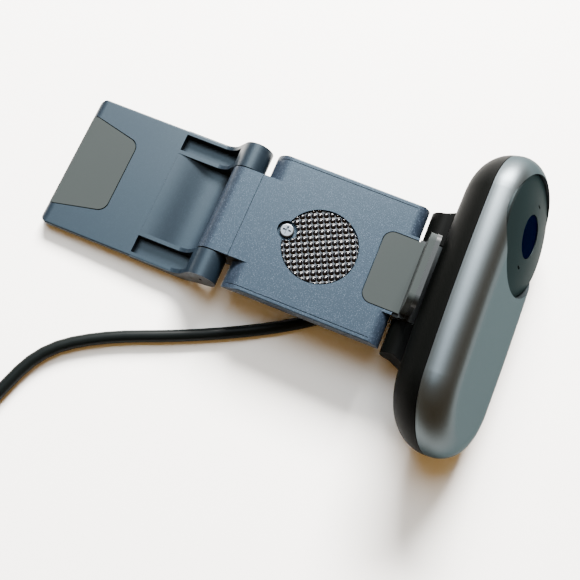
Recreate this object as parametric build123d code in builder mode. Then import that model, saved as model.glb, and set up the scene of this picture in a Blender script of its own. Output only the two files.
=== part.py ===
from build123d import *
from math import asin, atan2, cos, hypot, pi, radians, sin, sqrt, tan
import os

# USB webcam with a folding monitor clip, lying on a table with the clip folded flat out.
# Three frames are used. Clip frame: x runs along the clip from the hinge pin towards the head,
# z is up out of the plate's inner face. Head frame: x is the way the lens looks, z is across the
# head. Row frame: +Z up from the table, origin under the middle of the webcam.
# All lengths are in millimetres.

os.makedirs("parts", exist_ok=True)

# ---- driving dimensions ----------------------------------------------------------------

seam = 0.12                 # visible gap between two covers
fit_gap = 0.05              # all round, where one piece seats in another
run_gap = 0.04              # radial running clearance of a pin
swing_gap = 0.3             # sideways clearance between parts that turn past each other

# clip plate
clip_width = 35.6
plate_half = 3.8            # half thickness, also the hinge barrel's radius
plate_flat_end = 41.0       # where the inner face starts to round off
plate_end = 44.0
plate_end_round = 3.0
belly_round = 5.4           # rounding of the long edges underneath
shoulder_round = 4.8
shoulder_start = 4.95       # from the hinge pin to the plate's shoulders
barrel_width = 21.8
rim_width = 1.0
cover_thick = 1.8
cover_start = 4.1
floor_thick = 1.8
side_wall = 2.6
tab_width = 19.8

# arm
arm_length = 43.4
arm_drop = 3.9              # inner face of the arm below the pin axis
arm_thick = 3.2
arm_tip_long = 2.2          # the tip's upper edge is an ellipse, this long
arm_tip_deep = 1.7
arm_tip_low_round = 1.3
arm_corner = 2.4            # corners of the tip seen from above
arm_belly_round = 2.3
lug_radius = 3.75
lug_slope = 60.0            # steepness of the ramp up to a lug, degrees
lug_ramp_round = 4.5
rail_width = 1.1
pocket_width = 4.5
web_start = 19.1            # the saddle between the ribs starts here
web_end = 4.9
web_valley = 8.8            # its lowest line
web_dip = 2.25
web_rise = 0.6              # from there up to the hinge
web_thick = 0.9
pocket_floor = 0.9
rear_pad_length = 13.9
rear_pad_tip_half = 12.4
rear_pad_root_half = 9.6
rear_pad_tuck = 6.0         # how far it comes back underneath

# hinge hardware
pin_radius = 1.0
cap_radius = 2.95
cap_thick = 0.8
cap_seam = 0.08
cap_dot = 0.45
washer_radius = 2.6

# pads, lip and tilt bracket
pad_thick = 0.8
pad_seam = 0.22             # groove round a pad
front_pad_start = 36.0
front_pad_width = 18.1
pad_corner = 2.4
lip_gap = 0.3
lip_height = 10.2
lip_pad_thick = 1.4
lip_thick = 1.05
lip_inner = 45.55
lip_corner = 2.4
tilt_x = 48.3
knuckle_radius = 3.6
tongue_width = 15.6
tongue_thick = 3.0
tongue_start = 33.5

# label seat
label_x = 23.1
label_y = -0.9
label_radius = 9.1
label_thick = 0.7
cover_screw_x = 14.5
screw_lobe_radius = 2.3

# head
head_length = 72.9
head_height = 32.0
head_tilt = 28.7            # lens axis above the plate's plane, degrees
head_x = 61.1               # middle of the parting line, from the hinge pin
head_z = 4.6
front_depth = 6.6
front_round = 5.8
rear_depth = 8.4
rear_round = 8.2
shell_wall = 1.7
eye_y = 18.3
eye_z = -0.3
eye_radius = 14.3
eye_sunk = 1.1              # the eye's rim below the front shell's face
eye_thick = 1.6             # at its rim
eye_ledge = 1.9             # width of the ledge it sits on
eye_edge = 0.3              # bevel of the rim
eye_dome = 1.1              # its middle above its rim
window_radius = 5.1
window_sunk = 0.3           # below the eye's top
window_thick = 0.8
slit_offset = 7.9
slit_long = 1.6
slit_wide = 0.5
neck_half = 18.2
neck_flare_half = 19.6
neck_slot = 20.4            # gap between the neck's lugs

# board and optics
board_length = 58.0
board_height = 23.0
board_thick = 1.0
board_back = -3.4           # rear face of the board, in the head frame
board_round = 6.0
post_radius = 1.7
holder_size = 9.0
holder_deep = 4.0
sensor_size = 6.0
sensor_thick = 0.8
filter_size = 6.6
filter_thick = 0.3
barrel_radius = 3.1
barrel_back = -0.6
barrel_front = 4.3

# fasteners: thread radius, head radius, head height
screw_thread = 0.85
screw_head = 1.7
screw_head_high = 0.9
pilot = 0.02                # thread clearance in a drawn pilot hole

# cord
cord_radius = 1.5
gland_z = -5.2
gland_radius = 2.5
gland_tip_radius = 2.0
gland_long = 4.0
gland_flange = 5.4
coil_x = -75.0
coil_y = -74.0
coil_mean_radius = 18.0
coil_width = 15.0
coil_height = 10.0
coil_round = 3.0
tie_width = 5.0
tie_thick = 0.6
tail_start = (-96.5, -72.0)
tail_turn = 92.0            # heading of the plug end, degrees from +X
tail_long = 24.0
plug_long = 25.0
plug_wide = 15.6
plug_high = 7.6
plug_round = 1.8
relief_long = 9.0
relief_radius = 3.0
shell_wide = 12.0
shell_high = 4.5
shell_out = 11.75
shell_in = 7.0
shell_sheet = 0.3

# ---- how it lies: the head's lower edge and the arm's tip both touch the table ------------

head_angle = radians(head_tilt)


def head_to_clip(x, z):
    """A point of the head frame's x, z plane in the clip frame's x, z plane."""
    return (
        head_x + x * cos(head_angle) - z * sin(head_angle),
        head_z + x * sin(head_angle) + z * cos(head_angle),
    )


tip_arc = (-(arm_length - arm_tip_low_round), -(arm_drop + arm_thick - arm_tip_low_round))
head_arc = head_to_clip(rear_round - rear_depth, rear_round - head_height / 2)
arc_step = (head_arc[0] - tip_arc[0], head_arc[1] - tip_arc[1])
lie_angle = asin((rear_round - arm_tip_low_round) / hypot(*arc_step)) - atan2(arc_step[1], arc_step[0])


def height_of(x, z):
    return x * sin(lie_angle) + z * cos(lie_angle)


def along_of(x, z):
    return x * cos(lie_angle) - z * sin(lie_angle)


pin_height = arm_tip_low_round - height_of(*tip_arc)
nose_arc = head_to_clip(front_depth - front_round, front_round - head_height / 2)
left_end = along_of(*tip_arc) - arm_tip_low_round
eye_rim = front_depth - eye_sunk
right_end = max(
    along_of(*nose_arc) + front_round,
    along_of(*head_to_clip(eye_rim - 0.1, eye_z - eye_radius)),
)
pin_along = -(left_end + right_end) / 2


def clip_point(x, y, z):
    """A point of the clip frame in the row frame."""
    return Vector(pin_along + along_of(x, z), y, pin_height + height_of(x, z))


def head_point(x, y, z):
    """A point of the head frame in the row frame."""
    cx, cz = head_to_clip(x, z)
    return clip_point(cx, y, cz)


clip_forward = Vector(cos(lie_angle), 0, sin(lie_angle))
clip_up = Vector(-sin(lie_angle), 0, cos(lie_angle))
look = Vector(cos(lie_angle + head_angle), 0, sin(lie_angle + head_angle))
across = Vector(0, 1, 0)
toward_viewer = Vector(0, -1, 0)


def clip_side(y=0.0):
    """Sketch plane seen from the side: x along the clip, y up."""
    return Plane(origin=clip_point(0, y, 0), x_dir=clip_forward, z_dir=toward_viewer)


def clip_deck(z=0.0):
    """Sketch plane seen from above: x along the clip, y across."""
    return Plane(origin=clip_point(0, 0, z), x_dir=clip_forward, z_dir=clip_up)


def clip_cross(x=0.0):
    """Sketch plane across the clip: x across, y up."""
    return Plane(origin=clip_point(x, 0, 0), x_dir=across, z_dir=clip_forward)


def head_side(y=0.0):
    """Sketch plane of the head seen from the side: x the way it looks, y up."""
    return Plane(origin=head_point(0, y, 0), x_dir=look, z_dir=toward_viewer)


def head_face(x=0.0):
    """Sketch plane of the head seen from the front: x across, y up."""
    return Plane(origin=head_point(x, 0, 0), x_dir=across, z_dir=look)


def screws(plane, points, length):
    """Pan-head screws: the heads' undersides lie on the plane, the shanks go down from it."""
    with BuildPart() as made:
        with BuildSketch(plane):
            with Locations(*points):
                Circle(screw_thread)
        extrude(amount=-length)
        with BuildSketch(plane):
            with Locations(*points):
                Circle(screw_head)
        extrude(amount=screw_head_high)
        fillet(edges().filter_by(GeomType.CIRCLE).filter_by(
            lambda e: abs(e.radius - screw_head) < 0.01
            and plane.to_local_coords(e.arc_center).Z > 0.1
        ), radius=0.35)
        with BuildSketch(plane.offset(screw_head_high)):
            with Locations(*points):
                Rectangle(screw_head * 1.2, screw_head * 0.28)
                Rectangle(screw_head * 0.28, screw_head * 1.2)
        extrude(amount=-screw_head_high * 0.55, mode=Mode.SUBTRACT)
    return made


# ---- clip plate ---------------------------------------------------------------------------

half_width = clip_width / 2
cover_floor = plate_half - cover_thick
shell_floor = -plate_half + floor_thick
shoulder_far = shoulder_start + shoulder_round

with BuildPart() as plate_blank:
    # section across the plate, cut to the plate's side view
    with BuildSketch(clip_cross(0)):
        Rectangle(clip_width, 2 * plate_half)
        fillet(vertices().group_by(Axis.Y)[0], radius=belly_round)
        fillet(vertices().group_by(Axis.Y)[-1], radius=0.35)
    extrude(amount=plate_end + 1)
    with BuildSketch(clip_side()):
        with Locations(((shoulder_start + plate_end) / 2, 0)):
            Rectangle(plate_end - shoulder_start, 2 * plate_half)
        fillet(vertices().group_by(Axis.X)[0].sort_by(Axis.Y)[-1:], radius=shoulder_round)
        fillet(vertices().group_by(Axis.X)[0].sort_by(Axis.Y)[:1], radius=1.6)
        fillet(vertices().group_by(Axis.X)[-1], radius=plate_end_round)
    extrude(amount=clip_width, both=True, mode=Mode.INTERSECT)
    # hinge barrel
    with BuildSketch(clip_side()):
        Circle(plate_half)
        with Locations((shoulder_far / 2, 0)):
            Rectangle(shoulder_far, 2 * plate_half)
    extrude(amount=barrel_width / 2, both=True)
    # square end in front of the lip
    with BuildSketch(clip_side()):
        with Locations((plate_end - plate_end_round, 0)):
            Rectangle(2 * plate_end_round, 2 * plate_half)
    extrude(amount=tab_width / 2, both=True)

cover_half = half_width - rim_width
hollow_start = shoulder_far + 1.0
hollow_end = plate_end - side_wall
hollow_half = half_width - side_wall - 1.2
screw_seat = plate_half - screw_head_high - 0.15
screw_reach = 3.6
bracket_screw_x = tongue_start + 2.6
bracket_screw_points = [(bracket_screw_x, 5.0), (bracket_screw_x, -5.0)]
cover_middle = (cover_start + plate_flat_end) / 2
cover_long = plate_flat_end - cover_start

with BuildPart() as base_shell:
    add(plate_blank.part)
    with BuildSketch(clip_deck(cover_floor)):
        with Locations((cover_middle, 0)):
            Rectangle(cover_long, 2 * cover_half + 2 * fit_gap)
        with Locations(((plate_flat_end + plate_end) / 2 + 0.5, 0)):
            Rectangle(plate_end - plate_flat_end + 1.02, clip_width + 1)
    extrude(amount=cover_thick + 1, mode=Mode.SUBTRACT)
    with BuildSketch(clip_deck(shell_floor)):
        with Locations(((hollow_start + hollow_end) / 2, 0)):
            RectangleRounded(hollow_end - hollow_start, 2 * hollow_half, 2.0)
        with Locations((cover_screw_x, 0)):
            Circle(2.6, mode=Mode.SUBTRACT)
    extrude(amount=2 * plate_half, mode=Mode.SUBTRACT)
    with BuildSketch(clip_deck(cover_floor)):
        with Locations((cover_screw_x, 0)):
            Circle(screw_thread + pilot)
    extrude(amount=-screw_reach - 0.4, mode=Mode.SUBTRACT)
    # slot for the bracket's tongue
    with BuildSketch(clip_cross(hollow_end - 0.5)):
        with Locations((0, shell_floor + tongue_thick / 2 + fit_gap / 2)):
            Rectangle(tongue_width + 2 * fit_gap, tongue_thick + fit_gap)
    extrude(amount=side_wall + 1, mode=Mode.SUBTRACT)
    with BuildSketch(clip_side()):
        Circle(pin_radius + run_gap)
    extrude(amount=half_width, both=True, mode=Mode.SUBTRACT)
    with BuildSketch(clip_deck(-plate_half - 0.5)):
        with Locations(*bracket_screw_points):
            Circle(screw_head + fit_gap)
    extrude(amount=screw_head_high + 0.5, mode=Mode.SUBTRACT)
    with BuildSketch(clip_deck(-plate_half)):
        with Locations(*bracket_screw_points):
            Circle(screw_thread + fit_gap)
    extrude(amount=floor_thick + 0.5, mode=Mode.SUBTRACT)
base_shell.part.label = "base_shell"
export_step(base_shell.part, "parts/base_shell.step")

with BuildPart() as base_cover:
    add(plate_blank.part)
    with BuildSketch(clip_deck(cover_floor)):
        with Locations((cover_middle + seam / 2, 0)):
            Rectangle(cover_long - seam, 2 * cover_half - 2 * seam)
        with Locations(((plate_flat_end + plate_end) / 2 + 0.5, 0)):
            Rectangle(plate_end - plate_flat_end + 1, clip_width + 1)
    extrude(amount=cover_thick + 1, mode=Mode.INTERSECT)
    with BuildSketch(clip_deck(plate_half - label_thick)):
        with Locations((label_x, label_y)):
            Circle(label_radius + fit_gap)
    extrude(amount=label_thick + 1, mode=Mode.SUBTRACT)
    with BuildSketch(clip_deck(screw_seat)):
        with Locations((cover_screw_x, 0)):
            Circle(screw_lobe_radius)
    extrude(amount=cover_thick, mode=Mode.SUBTRACT)
    with BuildSketch(clip_deck(screw_seat)):
        with Locations((cover_screw_x, 0)):
            Circle(screw_thread + fit_gap)
    extrude(amount=-cover_thick, mode=Mode.SUBTRACT)
    with BuildSketch(clip_deck(plate_half - pad_thick)):
        with Locations(((front_pad_start + plate_end) / 2 + 2, 0)):
            RectangleRounded(
                plate_end - front_pad_start + 4 + 2 * pad_seam,
                front_pad_width + 2 * pad_seam,
                pad_corner + pad_seam,
            )
    extrude(amount=pad_thick + 1, mode=Mode.SUBTRACT)
base_cover.part.label = "base_cover"
export_step(base_cover.part, "parts/base_cover.step")

with BuildPart() as label_seat:
    with BuildSketch(clip_deck(plate_half - label_thick)):
        with Locations((label_x, label_y)):
            Circle(label_radius)
        with Locations((cover_screw_x, 0)):
            Circle(screw_lobe_radius + fit_gap, mode=Mode.SUBTRACT)
    extrude(amount=label_thick - 0.3)
label_seat.part.label = "label_seat"
export_step(label_seat.part, "parts/label_seat.step")

cover_screw = screws(clip_deck(screw_seat), [(cover_screw_x, 0)], screw_reach)
cover_screw.part.label = "cover_screw"
export_step(cover_screw.part, "parts/cover_screw.step")

# ---- lip and tilt bracket ---------------------------------------------------------------------

foot_start = plate_end + lip_gap
lip_back = lip_inner + lip_pad_thick
lip_outer = lip_back + lip_thick
lip_top = plate_half + lip_height

with BuildPart() as lip_bracket:
    with BuildSketch(clip_side()):
        with BuildLine():
            Polyline(
                (foot_start, -3.3),
                (tilt_x, -3.3),
                (tilt_x, 0),
                (lip_outer, 2.2),
                (lip_outer, plate_half + 1),
                (lip_back, plate_half + 1),
                (lip_back, plate_half),
                (lip_inner, plate_half),
                (lip_inner, plate_half - pad_thick),
                (foot_start, plate_half - pad_thick),
                close=True,
            )
        make_face()
        with Locations((tilt_x, 0)):
            Circle(knuckle_radius)
    extrude(amount=tab_width / 2, both=True)
    with BuildSketch(clip_deck(shell_floor)):
        with Locations(((tongue_start + foot_start) / 2 + 0.5, 0)):
            Rectangle(foot_start - tongue_start + 1, tongue_width)
    extrude(amount=tongue_thick)
    with BuildSketch(clip_cross(lip_back)):
        with Locations((0, (plate_half + lip_top) / 2 - 0.5)):
            Rectangle(front_pad_width, lip_height + 1)
        fillet(vertices().group_by(Axis.Y)[-1], radius=lip_corner)
    extrude(amount=lip_thick)
    with BuildSketch(clip_side()):
        with Locations((tilt_x, 0)):
            Circle(pin_radius + run_gap)
    extrude(amount=half_width, both=True, mode=Mode.SUBTRACT)
    with BuildSketch(clip_deck(shell_floor)):
        with Locations(*bracket_screw_points):
            Circle(screw_thread + pilot)
    extrude(amount=tongue_thick, mode=Mode.SUBTRACT)
lip_bracket.part.label = "lip_bracket"
export_step(lip_bracket.part, "parts/lip_bracket.step")

front_pad_end = lip_inner - seam

with BuildPart() as front_pad:
    with BuildSketch(clip_deck(plate_half - pad_thick)):
        with Locations(((front_pad_start + front_pad_end) / 2, 0)):
            Rectangle(front_pad_end - front_pad_start, front_pad_width)
        fillet(vertices().group_by(Axis.X)[0], radius=pad_corner)
    extrude(amount=pad_thick)
front_pad.part.label = "front_pad"
export_step(front_pad.part, "parts/front_pad.step")

with BuildPart() as lip_pad:
    with BuildSketch(clip_cross(lip_inner)):
        with Locations((0, (plate_half + lip_top - 0.1) / 2)):
            Rectangle(front_pad_width - 0.3, lip_height - 0.1)
        fillet(vertices().group_by(Axis.Y)[-1], radius=lip_corner - 0.1)
    extrude(amount=lip_pad_thick)
lip_pad.part.label = "lip_pad"
export_step(lip_pad.part, "parts/lip_pad.step")

under_plane = Plane(
    origin=clip_point(0, 0, -plate_half + screw_head_high), x_dir=clip_forward, z_dir=clip_up * -1
)
bracket_screws = screws(under_plane, bracket_screw_points, screw_reach)
bracket_screws.part.label = "bracket_screws"
export_step(bracket_screws.part, "parts/bracket_screws.step")

tilt_pin_half = neck_half - 1.4

with BuildPart() as tilt_pin:
    with BuildSketch(clip_side()):
        with Locations((tilt_x, 0)):
            Circle(pin_radius)
    extrude(amount=tilt_pin_half, both=True)
tilt_pin.part.label = "tilt_pin"
export_step(tilt_pin.part, "parts/tilt_pin.step")

# ---- hinge hardware ------------------------------------------------------------------------

hinge_pin_half = half_width - cap_thick - 0.1
lug_inner = barrel_width / 2 + swing_gap

with BuildPart() as hinge_pin:
    with BuildSketch(clip_side()):
        Circle(pin_radius)
    extrude(amount=hinge_pin_half, both=True)
hinge_pin.part.label = "hinge_pin"
export_step(hinge_pin.part, "parts/hinge_pin.step")

with BuildPart() as hinge_caps:
    for side_sign in (1, -1):
        with BuildSketch(clip_side(side_sign * (half_width - cap_thick / 2))):
            Circle(cap_radius)
        extrude(amount=cap_thick / 2, both=True)
        with BuildSketch(clip_side(side_sign * half_width)):
            Circle(cap_dot)
        extrude(amount=cap_thick / 2, both=True, mode=Mode.SUBTRACT)
hinge_caps.part.label = "hinge_caps"
export_step(hinge_caps.part, "parts/hinge_caps.step")

with BuildPart() as hinge_washers:
    for side_sign in (1, -1):
        with BuildSketch(clip_side(side_sign * (barrel_width / 2 + swing_gap / 2))):
            Circle(washer_radius)
            Circle(pin_radius + run_gap, mode=Mode.SUBTRACT)
        extrude(amount=swing_gap / 2 - 0.04, both=True)
hinge_washers.part.label = "hinge_washers"
export_step(hinge_washers.part, "parts/hinge_washers.step")

tilt_gap = (neck_slot - tab_width) / 2

with BuildPart() as tilt_washers:
    for side_sign in (1, -1):
        with BuildSketch(clip_side(side_sign * (tab_width / 2 + tilt_gap / 2))):
            with Locations((tilt_x, 0)):
                Circle(washer_radius)
                Circle(pin_radius + run_gap, mode=Mode.SUBTRACT)
        extrude(amount=tilt_gap / 2 - 0.04, both=True)
tilt_washers.part.label = "tilt_washers"
export_step(tilt_washers.part, "parts/tilt_washers.step")

# ---- arm --------------------------------------------------------------------------------------

lug_width = half_width - lug_inner
lug_middle = (half_width + lug_inner) / 2
arm_low = -arm_drop - arm_thick
slope = radians(lug_slope)
ramp_top = (-lug_radius * sin(slope), lug_radius * cos(slope))
ramp_foot_x = ramp_top[0] - (ramp_top[1] + arm_drop) / tan(slope)
pocket_outer = half_width - rail_width
pocket_inner = pocket_outer - pocket_width
pocket_middle = (pocket_outer + pocket_inner) / 2
pocket_end = lug_radius + 0.5
saddle_low = -arm_drop - web_dip


def arm_side(inset):
    """The arm's plain side view, drawn in all round the tip by inset."""
    top = -arm_drop - inset
    low = arm_low + inset
    ellipse_middle = (-arm_length + arm_tip_long, -arm_drop - arm_tip_deep)
    low_middle = (-arm_length + arm_tip_low_round, arm_low + arm_tip_low_round)
    with BuildSketch() as side_view:
        with BuildLine():
            Polyline((low_middle[0], low), (0, low), (0, top), (ellipse_middle[0], top))
            EllipticalCenterArc(
                ellipse_middle, arm_tip_long - inset, arm_tip_deep - inset, start_angle=90, arc_size=90
            )
            Line((-arm_length + inset, ellipse_middle[1]), (-arm_length + inset, low_middle[1]))
            CenterArc(low_middle, arm_tip_low_round - inset, 180, 90)
        make_face()
    return side_view.sketch


def pad_skin(grow):
    """The skin of the arm that the rear pad takes up, its outline grown by grow."""
    root_end = -arm_length + rear_pad_length + grow
    tip_half = rear_pad_tip_half + grow
    root_half = rear_pad_root_half + grow
    with BuildPart() as skin:
        with BuildSketch(clip_side()):
            add(arm_side(0))
            add(arm_side(pad_thick), mode=Mode.SUBTRACT)
        extrude(amount=tip_half, both=True)
        with BuildSketch(clip_deck(arm_low - 1)):
            with BuildLine():
                Polyline(
                    (-arm_length - 1, -tip_half),
                    (-arm_length + 1.7, -tip_half),
                    (root_end, -root_half),
                    (root_end, root_half),
                    (-arm_length + 1.7, tip_half),
                    (-arm_length - 1, tip_half),
                    close=True,
                )
            make_face()
            fillet(vertices().group_by(Axis.X)[-1], radius=2.6)
        extrude(amount=arm_thick + 2, mode=Mode.INTERSECT)
        with BuildSketch(clip_side()):
            with Locations((-arm_length / 2 + rear_pad_tuck + grow, arm_low)):
                Rectangle(arm_length, arm_thick)
        extrude(amount=clip_width, both=True, mode=Mode.SUBTRACT)
    return skin


with BuildPart() as arm_blank:
    with BuildSketch(clip_cross(-arm_length)):
        with Locations((0, -arm_drop - arm_thick / 2)):
            Rectangle(clip_width, arm_thick)
        fillet(vertices().group_by(Axis.Y)[0], radius=arm_belly_round)
        fillet(vertices().group_by(Axis.Y)[-1], radius=0.35)
    extrude(amount=arm_length - pocket_end)
    with BuildSketch(clip_side()):
        add(arm_side(0))
    extrude(amount=clip_width, both=True, mode=Mode.INTERSECT)
    with BuildSketch(clip_deck(arm_low - 1)):
        with Locations((-arm_length / 2, 0)):
            Rectangle(arm_length, clip_width + 0.01)
        fillet(vertices().group_by(Axis.X)[0], radius=arm_corner)
    extrude(amount=arm_thick + 2, mode=Mode.INTERSECT)

rear_pad = pad_skin(0)
rear_pad.part.label = "rear_pad"
export_step(rear_pad.part, "parts/rear_pad.step")

pad_room = pad_skin(pad_seam)

with BuildPart() as rear_arm:
    add(arm_blank.part)
    add(pad_room.part, mode=Mode.SUBTRACT)
    # lugs and the ramps that carry them
    for side_sign in (1, -1):
        with BuildSketch(clip_side(side_sign * lug_middle)):
            with BuildLine():
                Polyline(
                    (-web_start, arm_low + 1.4),
                    (-web_start, -arm_drop - 0.05),
                    (ramp_foot_x, -arm_drop - 0.05),
                    ramp_top,
                    (0, 0),
                    (0, -lug_radius),
                    (-lug_radius - 1.6, arm_low + 0.6),
                    close=True,
                )
            make_face()
            ramp_corner = vertices().sort_by_distance((ramp_foot_x, -arm_drop - 0.05))[0]
            fillet(ramp_corner, radius=lug_ramp_round)
            Circle(lug_radius)
        extrude(amount=lug_width / 2, both=True)
    # open middle, and the pockets beside it
    with BuildSketch(clip_deck(arm_low - 1)):
        with Locations((-web_start / 2, 0)):
            Rectangle(web_start, 2 * lug_inner)
    extrude(amount=4 * lug_radius, mode=Mode.SUBTRACT)
    for side_sign in (1, -1):
        with BuildSketch(clip_deck(arm_low + pocket_floor)):
            with Locations((-(web_start + pocket_end) / 2, side_sign * pocket_middle)):
                Rectangle(web_start - pocket_end, pocket_width)
        extrude(amount=4 * lug_radius, mode=Mode.SUBTRACT)
    # saddle between the ribs
    with BuildSketch(clip_side()):
        with BuildLine():
            Spline(
                (-web_start - 0.5, -arm_drop - 0.02),
                (-web_valley, saddle_low),
                (-web_end, saddle_low + web_rise),
                tangents=[(1, -0.05), (1, 0.5)],
            )
            Line((-web_end, saddle_low + web_rise), (-web_end, saddle_low + web_rise - web_thick))
            Spline(
                (-web_end, saddle_low + web_rise - web_thick),
                (-web_valley, saddle_low - web_thick),
                (-web_start - 0.5, arm_low + 0.3),
                tangents=[(-1, -0.5), (-1, 0.05)],
            )
            Line((-web_start - 0.5, arm_low + 0.3), (-web_start - 0.5, -arm_drop - 0.02))
        make_face()
    extrude(amount=lug_inner + 0.05, both=True)
    with BuildSketch(clip_side()):
        Circle(pin_radius + pilot)
    extrude(amount=hinge_pin_half + 0.05, both=True, mode=Mode.SUBTRACT)
    for side_sign in (1, -1):
        with BuildSketch(clip_side(side_sign * (half_width - cap_thick))):
            Circle(cap_radius + cap_seam)
        extrude(amount=-side_sign * (cap_thick + 1), mode=Mode.SUBTRACT)
rear_arm.part.label = "rear_arm"
export_step(rear_arm.part, "parts/rear_arm.step")

# ---- neck -------------------------------------------------------------------------------------

neck_screw_points = [(14.0, 1.5), (-14.0, 1.5)]


def back_plane_x(z):
    """Where the head's rear face crosses a height in the clip frame."""
    return head_x - rear_depth / cos(head_angle) + (head_z - z) * tan(head_angle)


with BuildPart() as tilt_neck:
    with BuildSketch(clip_side()):
        with BuildLine():
            Polyline(
                (tilt_x, -knuckle_radius),
                (back_plane_x(-knuckle_radius), -knuckle_radius),
                (back_plane_x(knuckle_radius), knuckle_radius),
                (tilt_x, knuckle_radius),
                close=True,
            )
        make_face()
        with Locations((tilt_x, 0)):
            Circle(knuckle_radius)
    extrude(amount=neck_flare_half, both=True)
    with BuildSketch(clip_deck(-2 * knuckle_radius)):
        with BuildLine():
            Polyline(
                (tilt_x - 5, -neck_half),
                (tilt_x - 0.8, -neck_half),
                (tilt_x + 2.2, -neck_flare_half),
                (tilt_x + 12, -neck_flare_half),
                (tilt_x + 12, neck_flare_half),
                (tilt_x + 2.2, neck_flare_half),
                (tilt_x - 0.8, neck_half),
                (tilt_x - 5, neck_half),
                close=True,
            )
        make_face()
        fillet(vertices().filter_by_position(Axis.X, tilt_x - 1, tilt_x + 3), radius=2.5)
    extrude(amount=4 * knuckle_radius, mode=Mode.INTERSECT)
    with BuildSketch(clip_side()):
        with Locations((tilt_x, 0)):
            Circle(knuckle_radius + 0.6)
    extrude(amount=neck_slot / 2, both=True, mode=Mode.SUBTRACT)
    # room for the cord's gland
    with BuildSketch(head_side()):
        with Locations((-rear_depth - 4, gland_z - 3.3)):
            Rectangle(8, 2 * gland_radius + 7.2)
    extrude(amount=gland_radius + 0.6, both=True, mode=Mode.SUBTRACT)
    with BuildSketch(clip_side()):
        with Locations((tilt_x, 0)):
            Circle(pin_radius + pilot)
    extrude(amount=tilt_pin_half + 0.05, both=True, mode=Mode.SUBTRACT)
    with BuildSketch(head_face(-rear_depth)):
        with Locations(*neck_screw_points):
            Circle(screw_thread + pilot)
    extrude(amount=-3.4, mode=Mode.SUBTRACT)
tilt_neck.part.label = "tilt_neck"
export_step(tilt_neck.part, "parts/tilt_neck.step")

# ---- head shells ------------------------------------------------------------------------------

end_radius = head_height / 2 - 0.7
end_centre = head_length / 2 - end_radius
crown_drop = head_height / 2 - end_radius
crown_radius = (end_centre**2 + (head_height / 2) ** 2 - end_radius**2) / (2 * crown_drop)


def head_outline(shrink):
    """Face of the head: round ends joined by slightly bowed long sides, drawn in by shrink."""
    lean = crown_radius - end_radius
    reach = end_radius - shrink
    join_x = end_centre + reach * end_centre / lean
    join_y = reach * (crown_radius - head_height / 2) / lean
    high = head_height / 2 - shrink
    far = head_length / 2 - shrink
    with BuildSketch() as outline:
        with BuildLine():
            ThreePointArc((-join_x, join_y), (0, high), (join_x, join_y))
            ThreePointArc((join_x, join_y), (far, 0), (join_x, -join_y))
            ThreePointArc((join_x, -join_y), (0, -high), (-join_x, -join_y))
            ThreePointArc((-join_x, -join_y), (-far, 0), (-join_x, join_y))
        make_face()
    return outline.sketch


front_inner = front_depth - shell_wall
rear_inner = rear_depth - shell_wall
eye_floor = eye_rim - eye_thick
ledge_back = eye_floor - shell_wall

with BuildPart() as front_room:
    with BuildSketch(head_face(-0.01)):
        add(head_outline(shell_wall))
    extrude(amount=front_inner + 0.01)
    fillet(faces().sort_by(Axis(head_point(0, 0, 0), look))[-1].edges(), radius=front_round - shell_wall)
    # the eye's ledge stays solid
    with BuildSketch(head_face(ledge_back)):
        with Locations((eye_y, eye_z)):
            Circle(eye_radius + 1.2)
    extrude(amount=front_depth, mode=Mode.SUBTRACT)

with BuildPart() as front_shell:
    with BuildSketch(head_face(0)):
        add(head_outline(0))
    extrude(amount=front_depth)
    fillet(faces().sort_by(Axis(head_point(0, 0, 0), look))[-1].edges(), radius=front_round)
    chamfer(faces().sort_by(Axis(head_point(0, 0, 0), look))[0].edges(), length=seam)
    add(front_room.part, mode=Mode.SUBTRACT)
    with BuildSketch(head_face(eye_floor)):
        with Locations((eye_y, eye_z)):
            Circle(eye_radius + fit_gap)
    extrude(amount=front_depth, mode=Mode.SUBTRACT)
    with BuildSketch(head_face(0)):
        with Locations((eye_y, eye_z)):
            Circle(eye_radius - eye_ledge)
    extrude(amount=front_depth, mode=Mode.SUBTRACT)
front_shell.part.label = "front_shell"
export_step(front_shell.part, "parts/front_shell.step")

board_front = board_back + board_thick
board_screw_points = [(-25.0, 6.0), (-25.0, -6.0), (26.5, 6.0), (26.5, -6.5)]

with BuildPart() as rear_room:
    with BuildSketch(head_face(0.01)):
        add(head_outline(shell_wall))
    extrude(amount=-rear_inner - 0.01)
    fillet(faces().sort_by(Axis(head_point(0, 0, 0), look))[0].edges(), radius=rear_round - shell_wall)

with BuildPart() as rear_shell:
    with BuildSketch(head_face(0)):
        add(head_outline(0))
    extrude(amount=-rear_depth)
    fillet(faces().sort_by(Axis(head_point(0, 0, 0), look))[0].edges(), radius=rear_round)
    chamfer(faces().sort_by(Axis(head_point(0, 0, 0), look))[-1].edges(), length=seam)
    add(rear_room.part, mode=Mode.SUBTRACT)
    with BuildSketch(head_face(board_back)):
        with Locations(*board_screw_points):
            Circle(post_radius)
    extrude(amount=-(rear_depth + board_back - shell_wall / 2))
    with BuildSketch(head_face(board_back)):
        with Locations(*board_screw_points):
            Circle(screw_thread + pilot)
    extrude(amount=-3.0, mode=Mode.SUBTRACT)
    with BuildSketch(head_face(-rear_depth - 1)):
        with Locations((0, gland_z)):
            Circle(gland_tip_radius - 0.1 + pilot)
        with Locations(*neck_screw_points):
            Circle(screw_thread + fit_gap)
    extrude(amount=shell_wall + 2, mode=Mode.SUBTRACT)
rear_shell.part.label = "rear_shell"
export_step(rear_shell.part, "parts/rear_shell.step")

neck_screws = screws(head_face(-rear_inner), neck_screw_points, shell_wall + 3.2)
neck_screws.part.label = "neck_screws"
export_step(neck_screws.part, "parts/neck_screws.step")

# ---- eye and optics -----------------------------------------------------------------------------

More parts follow.
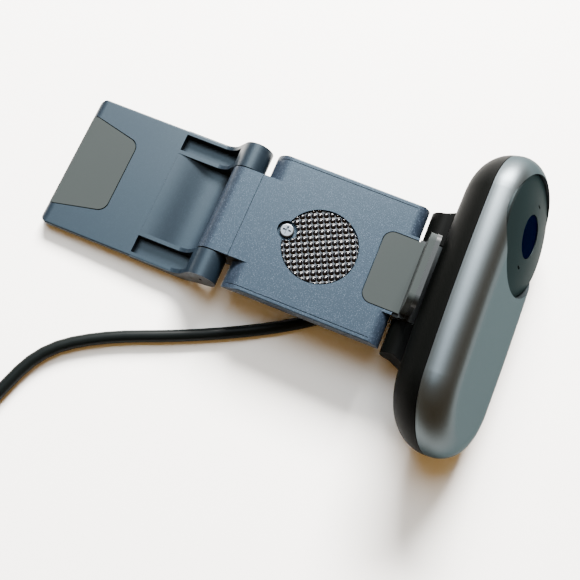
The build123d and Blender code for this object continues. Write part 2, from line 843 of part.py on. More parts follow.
eye_top = eye_rim + eye_dome
dome_half = eye_radius - eye_edge
dome_curve = (dome_half**2 + eye_dome**2) / (2 * eye_dome)
dome_sag = dome_curve - sqrt(dome_curve**2 - (dome_half / 2) ** 2)
window_front = eye_top - window_sunk
window_back = window_front - window_thick
slit_points = [(eye_y + slit_offset, eye_z), (eye_y - slit_offset, eye_z)]

with BuildPart() as lens_dish:
    # low dome on a plain rim
    with BuildSketch(Plane(origin=head_point(0, eye_y, eye_z), x_dir=look, z_dir=toward_viewer)):
        with BuildLine():
            Polyline(
                (eye_top, 0),
                (eye_floor, 0),
                (eye_floor, eye_radius),
                (eye_rim - eye_edge, eye_radius),
                (eye_rim, dome_half),
            )
            ThreePointArc((eye_rim, dome_half), (eye_top - dome_sag, dome_half / 2), (eye_top, 0))
        make_face()
    revolve(axis=Axis(head_point(0, eye_y, eye_z), look))
    with BuildSketch(head_face(window_back)):
        with Locations((eye_y, eye_z)):
            Circle(window_radius + fit_gap)
    extrude(amount=3, mode=Mode.SUBTRACT)
    with BuildSketch(head_face(0)):
        with Locations((eye_y, eye_z)):
            Circle(barrel_radius + 0.6)
    extrude(amount=front_depth, mode=Mode.SUBTRACT)
    with BuildSketch(head_face(0)):
        with Locations(*slit_points):
            Rectangle(slit_wide, slit_long)
    extrude(amount=front_depth, mode=Mode.SUBTRACT)
lens_dish.part.label = "lens_dish"
export_step(lens_dish.part, "parts/lens_dish.step")

with BuildPart() as lens_window:
    with BuildSketch(head_face(window_back)):
        with Locations((eye_y, eye_z)):
            Circle(window_radius)
    extrude(amount=window_thick)
    chamfer(edges().filter_by(GeomType.CIRCLE).sort_by(Axis(head_point(0, 0, 0), look))[-1], length=0.15)
lens_window.part.label = "lens_window"
export_step(lens_window.part, "parts/lens_window.step")

element_radius = barrel_radius - 0.7
rear_element_radius = barrel_radius - 1.1
element_seat = barrel_front - 1.3
rear_seat = barrel_back + 0.9

with BuildPart() as lens_barrel:
    with BuildSketch(head_face(barrel_back)):
        with Locations((eye_y, eye_z)):
            Circle(barrel_radius)
            Circle(1.5, mode=Mode.SUBTRACT)
    extrude(amount=barrel_front - barrel_back)
    with BuildSketch(head_face(element_seat)):
        with Locations((eye_y, eye_z)):
            Circle(element_radius + pilot)
    extrude(amount=3, mode=Mode.SUBTRACT)
    with BuildSketch(head_face(rear_seat)):
        with Locations((eye_y, eye_z)):
            Circle(rear_element_radius + pilot)
    extrude(amount=-3, mode=Mode.SUBTRACT)
lens_barrel.part.label = "lens_barrel"
export_step(lens_barrel.part, "parts/lens_barrel.step")

with BuildPart() as lens_front_element:
    with BuildSketch(head_face(element_seat)):
        with Locations((eye_y, eye_z)):
            Circle(element_radius)
    extrude(amount=0.9)
    fillet(edges().filter_by(GeomType.CIRCLE).sort_by(Axis(head_point(0, 0, 0), look))[-1], radius=0.6)
lens_front_element.part.label = "lens_front_element"
export_step(lens_front_element.part, "parts/lens_front_element.step")

with BuildPart() as lens_rear_element:
    with BuildSketch(head_face(rear_seat)):
        with Locations((eye_y, eye_z)):
            Circle(rear_element_radius)
    extrude(amount=-0.7)
lens_rear_element.part.label = "lens_rear_element"
export_step(lens_rear_element.part, "parts/lens_rear_element.step")

holder_front = board_front + holder_deep
filter_seat = board_front + 1.5

with BuildPart() as lens_holder:
    with BuildSketch(head_face(board_front)):
        with Locations((eye_y, eye_z)):
            RectangleRounded(holder_size, holder_size, 0.8)
    extrude(amount=holder_deep)
    with BuildSketch(head_face(board_front)):
        with Locations((eye_y, eye_z)):
            Rectangle(filter_size + 0.2, filter_size + 0.2)
    extrude(amount=filter_seat - board_front, mode=Mode.SUBTRACT)
    with BuildSketch(head_face(board_front)):
        with Locations((eye_y, eye_z)):
            Circle(barrel_radius + pilot)
    extrude(amount=holder_deep, mode=Mode.SUBTRACT)
lens_holder.part.label = "lens_holder"
export_step(lens_holder.part, "parts/lens_holder.step")

with BuildPart() as ir_filter:
    with BuildSketch(head_face(filter_seat)):
        with Locations((eye_y, eye_z)):
            Rectangle(filter_size, filter_size)
    extrude(amount=-filter_thick)
ir_filter.part.label = "ir_filter"
export_step(ir_filter.part, "parts/ir_filter.step")

with BuildPart() as image_sensor:
    with BuildSketch(head_face(board_front)):
        with Locations((eye_y, eye_z)):
            Rectangle(sensor_size, sensor_size)
    extrude(amount=sensor_thick)
image_sensor.part.label = "image_sensor"
export_step(image_sensor.part, "parts/image_sensor.step")

# ---- board and what is on it ----------------------------------------------------------------------

with BuildPart() as main_board:
    with BuildSketch(head_face(board_back)):
        RectangleRounded(board_length, board_height, board_round)
        with Locations(*board_screw_points):
            Circle(screw_thread + fit_gap, mode=Mode.SUBTRACT)
    extrude(amount=board_thick)
main_board.part.label = "main_board"
export_step(main_board.part, "parts/main_board.step")

board_screws = screws(head_face(board_front), board_screw_points, board_thick + 2.6)
board_screws.part.label = "board_screws"
export_step(board_screws.part, "parts/board_screws.step")

with BuildPart() as board_chips:
    with BuildSketch(head_face(board_front)):
        with Locations((-6.0, 1.5)):
            Rectangle(8.0, 8.0)
        with Locations((-16.5, 4.0)):
            Rectangle(5.0, 6.0)
        with Locations((-16.5, -5.0)):
            Rectangle(3.2, 2.5)
        with Locations((1.5, -7.5)):
            Rectangle(3.2, 1.6)
    extrude(amount=0.9)
board_chips.part.label = "board_chips"
export_step(board_chips.part, "parts/board_chips.step")

led_y = slit_points[1][0]
mic_y = slit_points[0][0]

with BuildPart() as activity_led:
    with BuildSketch(head_face(board_front)):
        with Locations((led_y, eye_z)):
            Rectangle(1.0, 2.0)
    extrude(amount=0.7)
activity_led.part.label = "activity_led"
export_step(activity_led.part, "parts/activity_led.step")

with BuildPart() as light_pipe:
    with BuildSketch(head_face(board_front + 0.7)):
        with Locations((led_y, eye_z)):
            RectangleRounded(1.6, 2.8, 0.3)
    extrude(amount=eye_floor - board_front - 0.7)
    with BuildSketch(head_face(eye_floor)):
        with Locations((led_y, eye_z)):
            Rectangle(slit_wide - 2 * fit_gap, slit_long - 2 * fit_gap)
    extrude(amount=1.6)
light_pipe.part.label = "light_pipe"
export_step(light_pipe.part, "parts/light_pipe.step")

with BuildPart() as microphone:
    with BuildSketch(head_face(board_front)):
        with Locations((mic_y, eye_z)):
            Rectangle(2.6, 3.4)
    extrude(amount=1.0)
microphone.part.label = "microphone"
export_step(microphone.part, "parts/microphone.step")

with BuildPart() as mic_boot:
    with BuildSketch(head_face(board_front + 1.0)):
        with Locations((mic_y, eye_z)):
            RectangleRounded(3.0, 3.6, 0.6)
    extrude(amount=eye_floor - board_front - 1.0)
    with BuildSketch(head_face(board_front)):
        with Locations((mic_y, eye_z)):
            Rectangle(slit_wide, slit_long)
    extrude(amount=front_depth, mode=Mode.SUBTRACT)
mic_boot.part.label = "mic_boot"
export_step(mic_boot.part, "parts/mic_boot.step")

connector_y = -9.5
connector_long = 6.6
wire_radius = 0.35

with BuildPart() as cable_connector:
    with BuildSketch(head_face(board_back)):
        with Locations((connector_y, gland_z + 0.2)):
            Rectangle(connector_long, 4.4)
    extrude(amount=-2.6)
cable_connector.part.label = "cable_connector"
export_step(cable_connector.part, "parts/cable_connector.step")

# ---- gland and the four leads inside ---------------------------------------------------------------

gland_start = head_point(-rear_depth, 0, gland_z)
gland_end = head_point(-rear_depth - gland_long, 0, gland_z)

with BuildPart() as cable_gland:
    with BuildSketch(Plane(origin=gland_start, x_dir=look, z_dir=toward_viewer)):
        with BuildLine():
            Polyline(
                (-gland_long, 0),
                (-gland_long, gland_tip_radius),
                (-0.8, gland_radius),
                (0, gland_radius),
                (0, gland_tip_radius - 0.1),
                (shell_wall, gland_tip_radius - 0.1),
                (shell_wall, 0),
                close=True,
            )
        make_face()
    revolve(axis=Axis(gland_start, look))
    with BuildSketch(head_face(-rear_inner)):
        with Locations((0, gland_z)):
            Rectangle(gland_flange, 5.0)
    extrude(amount=2.2)
cable_gland.part.label = "cable_gland"
export_step(cable_gland.part, "parts/cable_gland.step")

wire_gap = -connector_y - connector_long / 2 - gland_flange / 2
wire_heights = [gland_z - 1.4, gland_z - 0.5, gland_z + 0.5, gland_z + 1.4]

with BuildPart() as inner_wires:
    with BuildSketch(head_side(-gland_flange / 2)):
        with Locations(*[(-rear_inner + 1.3, z) for z in wire_heights]):
            Circle(wire_radius)
    extrude(amount=wire_gap)
inner_wires.part.label = "inner_wires"
export_step(inner_wires.part, "parts/inner_wires.step")

# ---- cord -----------------------------------------------------------------------------------------

drop_run = (gland_end.Z - cord_radius) / look.Z
landing = gland_end - look * drop_run
route = [
    gland_end,
    landing,
    Vector(25.5, -3.6, cord_radius),
    Vector(15.5, -13.2, cord_radius),
    Vector(2.9, -21.7, cord_radius),
    Vector(-14.4, -30.6, cord_radius),
    Vector(-31.5, -37.7, cord_radius),
    Vector(-43.5, -46.2, cord_radius),
    Vector(-48.2, -60.0, cord_radius),
    Vector(-56.5, -70.5, 4.5),
]


def bend_radii(points):
    """Largest comfortable bend at each corner: it uses 0.45 of the shorter run beside it."""
    radii = []
    for before, corner, after in zip(points, points[1:], points[2:]):
        run_in = corner - before
        run_out = after - corner
        half_turn = radians(run_in.get_angle(run_out)) / 2
        radii.append(0.45 * min(run_in.length, run_out.length) / tan(half_turn))
    return radii


cord_bends = bend_radii(route)
print("cord bends, mm:", [round(r, 1) for r in cord_bends])

with BuildPart() as usb_cord:
    with BuildLine() as cord_line:
        FilletPolyline(*route, radius=cord_bends)
    with BuildSketch(Plane(origin=route[0], z_dir=route[1] - route[0])):
        Circle(cord_radius)
    sweep(path=cord_line.line)
usb_cord.part.label = "usb_cord"
export_step(usb_cord.part, "parts/usb_cord.step")
cord_run = sum(edge.length for edge in cord_line.edges())
print("cord length, mm:", round(cord_run, 1), "volume, mm3:", round(usb_cord.part.volume, 1))
print("section times length, mm3:", round(pi * cord_radius**2 * cord_run, 1))

tail_way = Vector(cos(radians(tail_turn)), sin(radians(tail_turn)), 0)
tail_side = Vector(-tail_way.Y, tail_way.X, 0)
plug_axis_high = plug_high / 2


def plug_face(along):
    """Sketch plane across the plug, its distance measured from the tail's start."""
    origin = Vector(tail_start[0], tail_start[1], plug_axis_high) + tail_way * along
    return Plane(origin=origin, x_dir=tail_side, z_dir=tail_way)


with BuildPart() as cord_tail:
    with BuildSketch(plug_face(0)):
        Circle(cord_radius)
    extrude(amount=tail_long)
cord_tail.part.label = "cord_tail"
export_step(cord_tail.part, "parts/cord_tail.step")

tied_width = coil_width - 2 * tie_thick
tied_height = coil_height - 2 * tie_thick
tie_turn = radians(70)
tie_out = Vector(cos(tie_turn), sin(tie_turn), 0)
tie_plane = Plane(
    origin=Vector(coil_x, coil_y, coil_height / 2) + tie_out * coil_mean_radius,
    x_dir=tie_out,
    z_dir=Vector(sin(tie_turn), -cos(tie_turn), 0),
)

with BuildPart() as cord_coil:
    with BuildSketch(Plane(origin=(coil_x, coil_y, 0), x_dir=(1, 0, 0), z_dir=(0, -1, 0))):
        with Locations((coil_mean_radius, coil_height / 2)):
            RectangleRounded(coil_width, coil_height, coil_round)
    revolve(axis=Axis((coil_x, coil_y, 0), (0, 0, 1)))
    with BuildSketch(tie_plane):
        Rectangle(coil_width + 6, coil_height + 6)
        RectangleRounded(tied_width, tied_height, coil_round - tie_thick, mode=Mode.SUBTRACT)
    extrude(amount=tie_width / 2, both=True, mode=Mode.SUBTRACT)
    add(usb_cord.part, mode=Mode.SUBTRACT)
    add(cord_tail.part, mode=Mode.SUBTRACT)
cord_coil.part.label = "cord_coil"
export_step(cord_coil.part, "parts/cord_coil.step")

with BuildPart() as cord_tie:
    with BuildSketch(tie_plane):
        RectangleRounded(coil_width, coil_height, coil_round)
        RectangleRounded(tied_width, tied_height, coil_round - tie_thick, mode=Mode.SUBTRACT)
    extrude(amount=tie_width / 2, both=True)
cord_tie.part.label = "cord_tie"
export_step(cord_tie.part, "parts/cord_tie.step")

# ---- plug -------------------------------------------------------------------------------------------

relief_start = tail_long
body_start = relief_start + relief_long
body_end = body_start + plug_long

with BuildPart() as plug_strain_relief:
    with BuildSketch(plug_face(relief_start)):
        Circle(cord_radius + 0.4)
    with BuildSketch(plug_face(body_start)):
        Circle(relief_radius)
    loft()
plug_strain_relief.part.label = "plug_strain_relief"
export_step(plug_strain_relief.part, "parts/plug_strain_relief.step")

with BuildPart() as plug_overmould:
    with BuildSketch(plug_face(body_start)):
        RectangleRounded(plug_wide, plug_high, plug_round)
    extrude(amount=plug_long)
    with BuildSketch(plug_face(body_end - shell_in)):
        Rectangle(shell_wide, shell_high)
    extrude(amount=shell_in, mode=Mode.SUBTRACT)
plug_overmould.part.label = "plug_overmould"
export_step(plug_overmould.part, "parts/plug_overmould.step")

with BuildPart() as plug_shell:
    with BuildSketch(plug_face(body_end - shell_in)):
        Rectangle(shell_wide, shell_high)
        Rectangle(shell_wide - 2 * shell_sheet, shell_high - 2 * shell_sheet, mode=Mode.SUBTRACT)
    extrude(amount=shell_in + shell_out)
plug_shell.part.label = "plug_shell"
export_step(plug_shell.part, "parts/plug_shell.step")

tongue_high = 1.9

with BuildPart() as plug_tongue:
    with BuildSketch(plug_face(body_end - shell_in)):
        with Locations((0, shell_high / 2 - shell_sheet - tongue_high / 2)):
            Rectangle(shell_wide - 2 * shell_sheet, tongue_high)
    extrude(amount=shell_in + shell_out - 0.5)
plug_tongue.part.label = "plug_tongue"
export_step(plug_tongue.part, "parts/plug_tongue.step")

contact_top = shell_high / 2 - shell_sheet - tongue_high

with BuildPart() as plug_contacts:
    with BuildSketch(plug_face(body_end + 1)):
        with Locations(*[(y, contact_top - 0.1) for y in (-3.5, -1.0, 1.0, 3.5)]):
            Rectangle(1.0, 0.2)
    extrude(amount=shell_out - 3)
plug_contacts.part.label = "plug_contacts"
export_step(plug_contacts.part, "parts/plug_contacts.step")
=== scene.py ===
from math import cos, radians, sin

import bmesh
import bpy
from mathutils import Matrix, Vector


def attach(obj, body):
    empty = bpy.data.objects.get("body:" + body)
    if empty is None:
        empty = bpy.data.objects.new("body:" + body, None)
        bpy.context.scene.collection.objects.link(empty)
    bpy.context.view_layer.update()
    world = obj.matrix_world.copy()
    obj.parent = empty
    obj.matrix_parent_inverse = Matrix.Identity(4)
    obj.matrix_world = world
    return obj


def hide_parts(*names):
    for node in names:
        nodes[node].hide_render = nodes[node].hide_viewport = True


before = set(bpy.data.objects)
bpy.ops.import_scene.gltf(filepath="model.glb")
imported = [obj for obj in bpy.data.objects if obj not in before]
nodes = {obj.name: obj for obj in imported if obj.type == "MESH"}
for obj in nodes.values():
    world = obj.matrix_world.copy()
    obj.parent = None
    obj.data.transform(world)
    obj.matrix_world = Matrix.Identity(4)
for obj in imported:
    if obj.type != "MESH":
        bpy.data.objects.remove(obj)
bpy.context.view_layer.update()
print("frame loaded,", len(nodes), "nodes")

# camera, a short way above the table and a little to the near side
cameraFacts = {
    "place": (0.017439, -0.06265, 0.194041),
    "right": (0.92490, 0.3777, 0.042816),
    "up": (-0.37499, 0.8878, 0.26676),
    "focal": 51.32,      # mm
    "sensor": 36.0,      # mm
    "near": 0.005,
    "far": 20,
}


def makeCamera(facts):
    data = bpy.data.cameras.new("tableCamera")
    data.sensor_width = facts["sensor"]
    data.lens = facts["focal"]
    data.clip_start = facts["near"]
    data.clip_end = facts["far"]
    camera = bpy.data.objects.new("tableCamera", data)
    bpy.context.scene.collection.objects.link(camera)
    right = Vector(facts["right"]).normalized()
    up = Vector(facts["up"])
    up = (up - right * up.dot(right)).normalized()
    back = right.cross(up)
    turn = Matrix((right, up, back)).transposed().to_4x4()
    camera.matrix_world = Matrix.Translation(facts["place"]) @ turn
    bpy.context.scene.camera = camera


makeCamera(cameraFacts)
print("camera placed")

# the lie of the clip, for pieces that are placed on its plate
lieFacts = {
    "pin": (-0.0148998, 0.0, 0.0084532),   # the arm's hinge pin
    "lean": radians(1.8461),               # the plate rises towards the head
}


def clipFrame(facts):
    # x along the clip, y across, z out of the plate's face
    lean = facts["lean"]
    along = Vector((cos(lean), 0, sin(lean)))
    up = Vector((-sin(lean), 0, cos(lean)))
    turn = Matrix((along, Vector((0, 1, 0)), up)).transposed().to_4x4()
    return Matrix.Translation(facts["pin"]) @ turn


onClip = clipFrame(lieFacts)


# shader group shared by the moulded finishes
def groupStart(name, inputs, outputs):
    group = bpy.data.node_groups.new(name, "ShaderNodeTree")
    for title, kind in inputs:
        group.interface.new_socket(title, in_out="INPUT", socket_type=kind)
    for title, kind in outputs:
        group.interface.new_socket(title, in_out="OUTPUT", socket_type=kind)
    entry = group.nodes.new("NodeGroupInput")
    leave = group.nodes.new("NodeGroupOutput")
    return group, entry, leave


def makeGrainAndGlintGroup(facts):
    # moulded texture: a bump height, a mask of painted glints (small bright specks in place of
    # light caught by the grain) and a slow drift of the roughness
    group, entry, leave = groupStart(
        "mouldGrainAndGlints",
        [("Scale", "NodeSocketFloat"), ("Depth", "NodeSocketFloat"),
         ("Distance", "NodeSocketFloat")],
        [("Normal", "NodeSocketVector"), ("GlintMask", "NodeSocketFloat"),
         ("Drift", "NodeSocketFloat")],
    )
    coords = group.nodes.new("ShaderNodeTexCoord")
    noise = group.nodes.new("ShaderNodeTexNoise")
    noise.inputs["Detail"].default_value = facts["fineDetail"]
    cells = group.nodes.new("ShaderNodeTexVoronoi")
    slow = group.nodes.new("ShaderNodeTexNoise")
    slow.inputs["Scale"].default_value = facts["driftScale"]
    slow.inputs["Detail"].default_value = facts["driftDetail"]
    bump = group.nodes.new("ShaderNodeBump")
    glintRange = group.nodes.new("ShaderNodeMapRange")
    glintRange.inputs["From Min"].default_value = facts["glintEdge"]
    glintRange.inputs["From Max"].default_value = facts["glintCore"]
    link = group.links.new
    for texture in (noise, cells, slow):
        link(coords.outputs["Object"], texture.inputs["Vector"])
    link(entry.outputs["Scale"], noise.inputs["Scale"])
    link(entry.outputs["Scale"], cells.inputs["Scale"])
    link(noise.outputs["Fac"], bump.inputs["Height"])
    link(entry.outputs["Depth"], bump.inputs["Strength"])
    link(entry.outputs["Distance"], bump.inputs["Distance"])
    link(cells.outputs["Distance"], glintRange.inputs["Value"])
    link(bump.outputs["Normal"], leave.inputs["Normal"])
    link(glintRange.outputs["Result"], leave.inputs["GlintMask"])
    link(slow.outputs["Fac"], leave.inputs["Drift"])
    return group


grainAndGlintFacts = {
    "fineDetail": 2.0,
    "driftScale": 60.0,
    "driftDetail": 3.0,
    "glintEdge": 0.24,    # distance in a cell where a painted glint starts
    "glintCore": 0.10,    # and where it is full
}
grainAndGlintGroup = makeGrainAndGlintGroup(grainAndGlintFacts)


# sockets of a colour mix node
mixShare, mixFirst, mixSecond, mixResult = 0, 6, 7, 2


def makeFinish(name, look):
    # colour, rough, metal, shine, edge tint (on the clip and arm a painted blue tint of the
    # sheen) and coat go to the shader; grain is scale, depth, distance
    material = bpy.data.materials.new(name)
    material.use_nodes = True
    tree = material.node_tree
    shader = tree.nodes["Principled BSDF"]
    shader.inputs["Base Color"].default_value = (*look["colour"], 1)
    shader.inputs["Roughness"].default_value = look["rough"]
    shader.inputs["Metallic"].default_value = look.get("metal", 0.0)
    shader.inputs["Specular IOR Level"].default_value = look.get("shine", 0.5)
    shader.inputs["Specular Tint"].default_value = (*look.get("edge", (1.0, 1.0, 1.0)), 1)
    shader.inputs["Coat Weight"].default_value = look.get("coat", 0.0)
    shader.inputs["Coat Roughness"].default_value = look.get("coatRough", 0.1)
    if "grain" in look:
        scale, depth, distance = look["grain"]
        grain = tree.nodes.new("ShaderNodeGroup")
        grain.node_tree = grainAndGlintGroup
        grain.inputs["Scale"].default_value = scale
        grain.inputs["Depth"].default_value = depth
        grain.inputs["Distance"].default_value = distance
        tree.links.new(grain.outputs["Normal"], shader.inputs["Normal"])
        # painted glints: fine bright specks over the base colour, in place of light caught by the
        # grain
        glintColour = tree.nodes.new("ShaderNodeMix")
        glintColour.data_type = "RGBA"
        glintColour.inputs[mixFirst].default_value = (*look["colour"], 1)
        glintColour.inputs[mixSecond].default_value = (*look.get("glintColour", look["colour"]), 1)
        tree.links.new(grain.outputs["GlintMask"], glintColour.inputs[mixShare])
        tree.links.new(glintColour.outputs[mixResult], shader.inputs["Base Color"])
        # the roughness drifts slowly to both sides of its value
        drift = look.get("roughDrift", 0.04)
        wear = tree.nodes.new("ShaderNodeMapRange")
        wear.inputs["To Min"].default_value = look["rough"] - drift
        wear.inputs["To Max"].default_value = look["rough"] + drift
        tree.links.new(grain.outputs["Drift"], wear.inputs["Value"])
        tree.links.new(wear.outputs["Result"], shader.inputs["Roughness"])
    return material


# the glint colour paints small bright specks on the clip, arm and front shell, in place of light
# caught by their grain
finishes = {
    # the edge tint on the clip and the arm is painted light: the sky's blue put into the sheen
    "clipPlastic": {
        "colour": (0.006, 0.009, 0.015), "rough": 0.44, "shine": 0.24,
        "edge": (0.55, 0.80, 1.0), "grain": (4200, 0.50, 0.00004), "glintColour": (0.085, 0.110, 0.150),
    },
    "armPlastic": {
        "colour": (0.003, 0.006, 0.010), "rough": 0.38, "shine": 0.24,
        "edge": (0.70, 0.88, 1.0), "grain": (4600, 0.30, 0.00003), "glintColour": (0.016, 0.024, 0.034),
    },
    "padRubber": {
        "colour": (0.016, 0.020, 0.020), "rough": 0.80, "shine": 0.10,
        "grain": (2200, 0.25, 0.00004),
    },
    "lipPlastic": {
        "colour": (0.009, 0.011, 0.012), "rough": 0.42, "shine": 0.15,
        "grain": (2600, 0.2, 0.00003),
    },
    "labelGloss": {"colour": (0.001, 0.001, 0.002), "rough": 0.07, "shine": 0.40},
    "frontSatin": {
        "colour": (0.060, 0.071, 0.077), "rough": 0.40, "metal": 1.0, "edge": (0.34, 0.36, 0.36),
        "grain": (4200, 0.15, 0.00002), "glintColour": (0.080, 0.094, 0.100), "roughDrift": 0.02,
    },
    # rear shell and neck: matte black, made darker and duller than the plastic is, as painted
    # shade for the shadow over the rear of the head
    "blackWithPaintedShade": {
        "colour": (0.0008, 0.0010, 0.0009), "rough": 0.50, "shine": 0.02,
        "grain": (3000, 0.3, 0.00003),
    },
    "eyeMatte": {
        "colour": (0.014, 0.018, 0.019), "rough": 0.50, "metal": 1.0, "edge": (0.42, 0.43, 0.43),
        "grain": (4200, 0.2, 0.00002),
    },
    "windowGloss": {
        "colour": (0.008, 0.026, 0.042), "rough": 0.16, "metal": 1.0,
        "edge": (0.235, 0.308, 0.333),
    },
    "lensBlue": {"colour": (0.02, 0.03, 0.09), "rough": 0.03, "coat": 1.0, "coatRough": 0.02},
    "steelBright": {"colour": (0.62, 0.62, 0.63), "rough": 0.28, "metal": 1.0},
    "screwBlack": {"colour": (0.10, 0.11, 0.12), "rough": 0.34, "metal": 0.9},
    "boardGreen": {"colour": (0.02, 0.11, 0.05), "rough": 0.35, "coat": 0.3},
    "chipBlack": {"colour": (0.02, 0.02, 0.022), "rough": 0.45},
    "clearPipe": {"colour": (0.02, 0.02, 0.022), "rough": 0.15},
    "nylon": {"colour": (0.62, 0.62, 0.60), "rough": 0.5},
    "cordBlack": {
        "colour": (0.003, 0.004, 0.004), "rough": 0.36, "shine": 0.04,
        "grain": (900, 0.25, 0.00003),
    },
    "plugBlack": {
        "colour": (0.004, 0.004, 0.0045), "rough": 0.45, "shine": 0.10,
        "grain": (2600, 0.3, 0.00003),
    },
    "plugWhite": {"colour": (0.78, 0.78, 0.77), "rough": 0.4},
    "goldPlate": {"colour": (0.85, 0.62, 0.24), "rough": 0.22, "metal": 1.0},
    "wireRed": {"colour": (0.35, 0.05, 0.04), "rough": 0.4},
}

made = {name: makeFinish(name, look) for name, look in finishes.items()}

finishOf = {
    "base_shell": "clipPlastic", "base_cover": "clipPlastic", "label_seat": "labelGloss",
    "cover_screw": "screwBlack", "front_pad": "padRubber", "lip_bracket": "lipPlastic",
    "lip_pad": "padRubber", "bracket_screws": "screwBlack", "tilt_pin": "steelBright",
    "tilt_washers": "nylon", "hinge_pin": "steelBright", "hinge_caps": "armPlastic",
    "hinge_washers": "nylon", "rear_arm": "armPlastic", "rear_pad": "padRubber",
    "tilt_neck": "blackWithPaintedShade", "front_shell": "frontSatin", "rear_shell": "blackWithPaintedShade",
    "neck_screws": "screwBlack", "lens_dish": "eyeMatte", "lens_window": "windowGloss",
    "lens_barrel": "chipBlack", "lens_front_element": "lensBlue", "lens_rear_element": "lensBlue",
    "lens_holder": "chipBlack", "ir_filter": "lensBlue", "image_sensor": "chipBlack",
    "main_board": "boardGreen", "board_screws": "screwBlack", "board_chips": "chipBlack",
    "activity_led": "clearPipe", "light_pipe": "clearPipe", "microphone": "steelBright",
    "mic_boot": "padRubber", "cable_connector": "plugWhite", "cable_gland": "cordBlack",
    "inner_wires": "wireRed", "cord_tie": "plugBlack", "plug_strain_relief": "cordBlack",
    "plug_overmould": "plugBlack", "plug_shell": "steelBright", "plug_tongue": "plugWhite",
    "plug_contacts": "goldPlate",
}
for nodeName, finishName in finishOf.items():
    mesh = nodes[nodeName].data
    mesh.materials.clear()
    mesh.materials.append(made[finishName])
print("finishes made:", len(made))

# round label moulded with rows of small glossy domes
labelFacts = {
    "centre": (0.0231, -0.0009),       # on the plate, from the hinge pin
    "radius": 0.0090,
    "cell": 0.00011,                   # size of one mesh face
    "low": 0.00315,                    # underside
    "top": 0.00335,                    # face between the domes
    "dome": 0.00036,                   # height of a dome
    "pitch": 0.00140,                  # from dome to dome
    "reach": 0.19,                     # square of a dome's radius, in pitches
    "bulge": 0.7,                      # power that makes the domes full
    "turn": 26.0,                      # degrees, rows against the plate
    "lobe": (0.0145, 0.0, 0.00240),    # room for the screw: centre and radius
}


def makeLabel(facts):
    count = int(2 * facts["radius"] / facts["cell"])
    form = bmesh.new()
    bmesh.ops.create_grid(form, x_segments=count, y_segments=count, size=facts["radius"])
    turn = radians(facts["turn"])
    middleX, middleY = facts["centre"]
    lobeX, lobeY, lobeRadius = facts["lobe"]
    outside = []
    for point in form.verts:
        x, y = point.co.x, point.co.y
        rim = Vector((x, y)).length > facts["radius"]
        inLobe = Vector((x + middleX - lobeX, y + middleY - lobeY)).length < lobeRadius
        if rim or inLobe:
            outside.append(point)
            continue
        across = ((x * cos(turn) + y * sin(turn)) / facts["pitch"]) % 1.0 - 0.5
        along = ((y * cos(turn) - x * sin(turn)) / facts["pitch"]) % 1.0 - 0.5
        away = (across * across + along * along) / facts["reach"]
        point.co.z = facts["top"] + facts["dome"] * max(0.0, 1.0 - away) ** facts["bulge"]
    bmesh.ops.delete(form, geom=outside, context="VERTS")
    grown = bmesh.ops.extrude_face_region(form, geom=form.faces[:])
    for item in grown["geom"]:
        if isinstance(item, bmesh.types.BMVert):
            item.co.z = facts["low"]
    bmesh.ops.recalc_face_normals(form, faces=form.faces[:])
    for face in form.faces:
        face.smooth = True
    place = onClip @ Matrix.Translation((middleX, middleY, 0))
    bmesh.ops.transform(form, matrix=place, verts=form.verts[:])
    mesh = bpy.data.meshes.new("labelDomes")
    form.to_mesh(mesh)
    form.free()
    mesh.materials.append(made["labelGloss"])
    label = bpy.data.objects.new("labelDomes", mesh)
    bpy.context.scene.collection.objects.link(label)
    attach(label, "clip_base")
    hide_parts("label_seat")


makeLabel(labelFacts)
print("label made")

# cord: from the head under the plate, then wound up in a coil, then to the plug
cordFacts = {
    "length": 1.5,
    "diameter": 0.003,
    "coilCentre": (-0.075, -0.074),
    "outer": 0.0239,                   # radius of the outermost turn
    "inner": 0.0128,                   # and of the innermost
    "pitch": 0.00330,                  # from turn to turn in one layer
    "rows": (0.0015, 0.0046, 0.0077),  # heights of the layers
    "hump": 0.0109,                    # height of the crossing over the top
    "turnPoints": 16,                  # points in one full turn
    "startAngle": 8.0,                 # degrees, where the coil starts
    "endAngle": 175.0,                 # degrees, where the cord leaves it
    "layerSteps": 8,                   # points while it climbs to the next layer
    "humpSteps": 4,                    # points while it climbs to the crossing
    "crossing": 110.0,                 # degrees that the crossing takes
    "crossSteps": 5,
    "crossRadius": 0.0236,             # where the crossing ends
    "exitLead": 90.0,                  # degrees kept for the climb before the crossing
    "exitWay": [(-0.0980, -0.0635, 0.0100), (-0.0974, -0.0545, 0.0046)],
    "slack": 1e-6,                     # a turn this close to its goal is there
    "roundness": 4,                    # resolution of the round section
    "fineness": 4,                     # resolution between two points
}
cordRoute = [
    (0.037984, 0.0, 0.004238),
    (0.033345, 0.0, 0.0015),
    (0.0255, -0.0036, 0.0015),
    (0.0155, -0.0132, 0.0015),
    (0.0029, -0.0217, 0.0015),
    (-0.0144, -0.0306, 0.0015),
    (-0.0315, -0.0377, 0.0015),
    (-0.0435, -0.0462, 0.0015),
    (-0.0482, -0.0600, 0.0015),
]
plugFacts = {
    "place": (-0.0965, -0.0720, 0.0038),
    "way": 92.0,          # degrees, from the plug back along the cord
    "reach": 0.024,       # from the plug's place to the cord's end
    "straight": 0.003,    # straight piece in front of the end
}


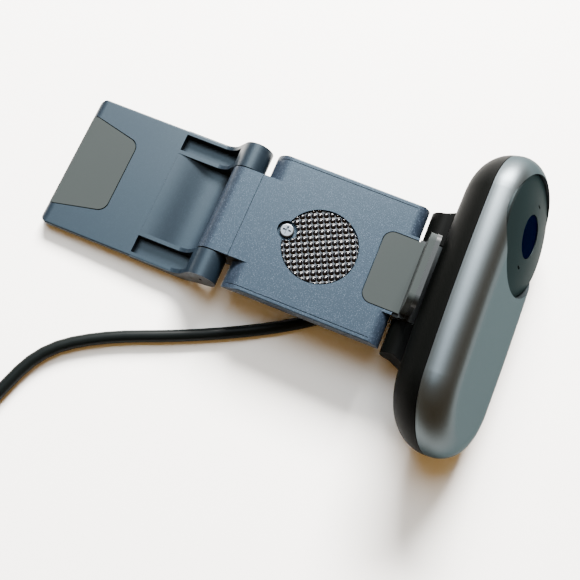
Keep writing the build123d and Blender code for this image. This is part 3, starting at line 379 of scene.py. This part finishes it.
def coilTurns(facts):
    # wound layer by layer, then one long low hump over the top and out
    step = 360 / facts["turnPoints"]
    points = []
    angle = facts["startAngle"]
    radius = facts["outer"]
    layers = len(facts["rows"])
    for layer, height in enumerate(facts["rows"]):
        goal = facts["inner"] if layer % 2 == 0 else facts["outer"]
        way = 1 if goal > radius else -1
        while (goal - radius) * way > facts["slack"]:
            points.append((angle, radius, height))
            angle -= step
            radius += way * facts["pitch"] * step / 360
        radius = goal
        if layer < layers - 1:
            rise = facts["rows"][layer + 1] - height
            for part in range(facts["layerSteps"]):
                points.append((angle, radius, height + rise * part / facts["layerSteps"]))
                angle -= step
    # stay on the inside until the crossing can start
    crossing = facts["crossing"]
    wait = (angle - (facts["endAngle"] + crossing + facts["exitLead"])) % 360
    for part in range(int(wait / step)):
        points.append((angle, radius, facts["rows"][-1]))
        angle -= step
    rise = facts["hump"] - facts["rows"][-1]
    for part in range(facts["humpSteps"]):
        points.append((angle, radius, facts["rows"][-1] + rise * part / facts["humpSteps"]))
        angle -= step
    for part in range(facts["crossSteps"] + 1):
        share = part / facts["crossSteps"]
        reached = radius + (facts["crossRadius"] - radius) * share
        points.append((angle, reached, facts["hump"]))
        angle -= crossing / facts["crossSteps"]
    return points


def makeCord(facts, plug):
    middleX, middleY = facts["coilCentre"]
    points = [Vector(point) for point in cordRoute]
    for angle, radius, height in coilTurns(facts):
        turn = radians(angle)
        points.append(
            Vector((middleX + radius * cos(turn), middleY + radius * sin(turn), height))
        )
    points.extend(Vector(point) for point in facts["exitWay"])
    back = radians(plug["way"])
    tailWay = Vector((cos(back), sin(back), 0))
    tailTip = Vector(plug["place"]) + plug["reach"] * tailWay
    points.append(tailTip - tailWay * plug["straight"])
    points.append(tailTip)
    curve = bpy.data.curves.new("usbCord", "CURVE")
    curve.dimensions = "3D"
    curve.bevel_depth = facts["diameter"] / 2
    curve.bevel_resolution = facts["roundness"]
    curve.resolution_u = facts["fineness"]
    curve.use_fill_caps = True
    spline = curve.splines.new("NURBS")
    spline.points.add(len(points) - 1)
    for place, point in zip(spline.points, points):
        place.co = (*point, 1)
    spline.order_u = 3
    spline.use_endpoint_u = True
    curve.materials.append(made["cordBlack"])
    cord = bpy.data.objects.new("usbCord", curve)
    bpy.context.scene.collection.objects.link(cord)
    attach(cord, "clip_base")
    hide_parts("usb_cord", "cord_coil", "cord_tail")


makeCord(cordFacts, plugFacts)
print("cord laid")

# table and light
tableFacts = {
    "size": 2.4,
    "colour": (0.92, 0.90, 0.87),
    "rough": 0.65,
}


def makeTable(facts):
    form = bmesh.new()
    bmesh.ops.create_grid(form, x_segments=1, y_segments=1, size=facts["size"])
    mesh = bpy.data.meshes.new("tableTop")
    form.to_mesh(mesh)
    form.free()
    table = bpy.data.objects.new("tableTop", mesh)
    bpy.context.scene.collection.objects.link(table)
    mesh.materials.append(makeFinish("tableWhite", facts))


makeTable(tableFacts)

lightFacts = {
    "skyLight": {
        "place": (-0.30, 0.38, 1.0), "size": (0.7, 0.7), "power": 15.0,
        "colour": (0.78, 0.90, 1.0),
    },
    "windowLight": {
        "place": (-0.15, 0.85, 0.60), "size": (0.6, 0.35), "power": 135.0,
        "colour": (1.0, 0.98, 0.95),
    },
}
worldFacts = {
    "colour": (1.0, 0.60, 0.22),
    "strength": 0.45,
}


def makeLight(name, facts):
    # an area light that looks at the middle of the table
    data = bpy.data.lights.new(name, "AREA")
    data.shape = "RECTANGLE"
    data.size, data.size_y = facts["size"]
    data.energy = facts["power"]
    data.color = facts["colour"]
    light = bpy.data.objects.new(name, data)
    bpy.context.scene.collection.objects.link(light)
    light.rotation_euler = Vector(facts["place"]).to_track_quat("Z", "Y").to_euler()
    light.location = facts["place"]


def makeWorld(facts):
    world = bpy.data.worlds.new("studioWorld")
    world.use_nodes = True
    background = world.node_tree.nodes["Background"]
    background.inputs["Color"].default_value = (*facts["colour"], 1)
    background.inputs["Strength"].default_value = facts["strength"]
    bpy.context.scene.world = world


for lightName, facts in lightFacts.items():
    makeLight(lightName, facts)
makeWorld(worldFacts)
print("table and light set")
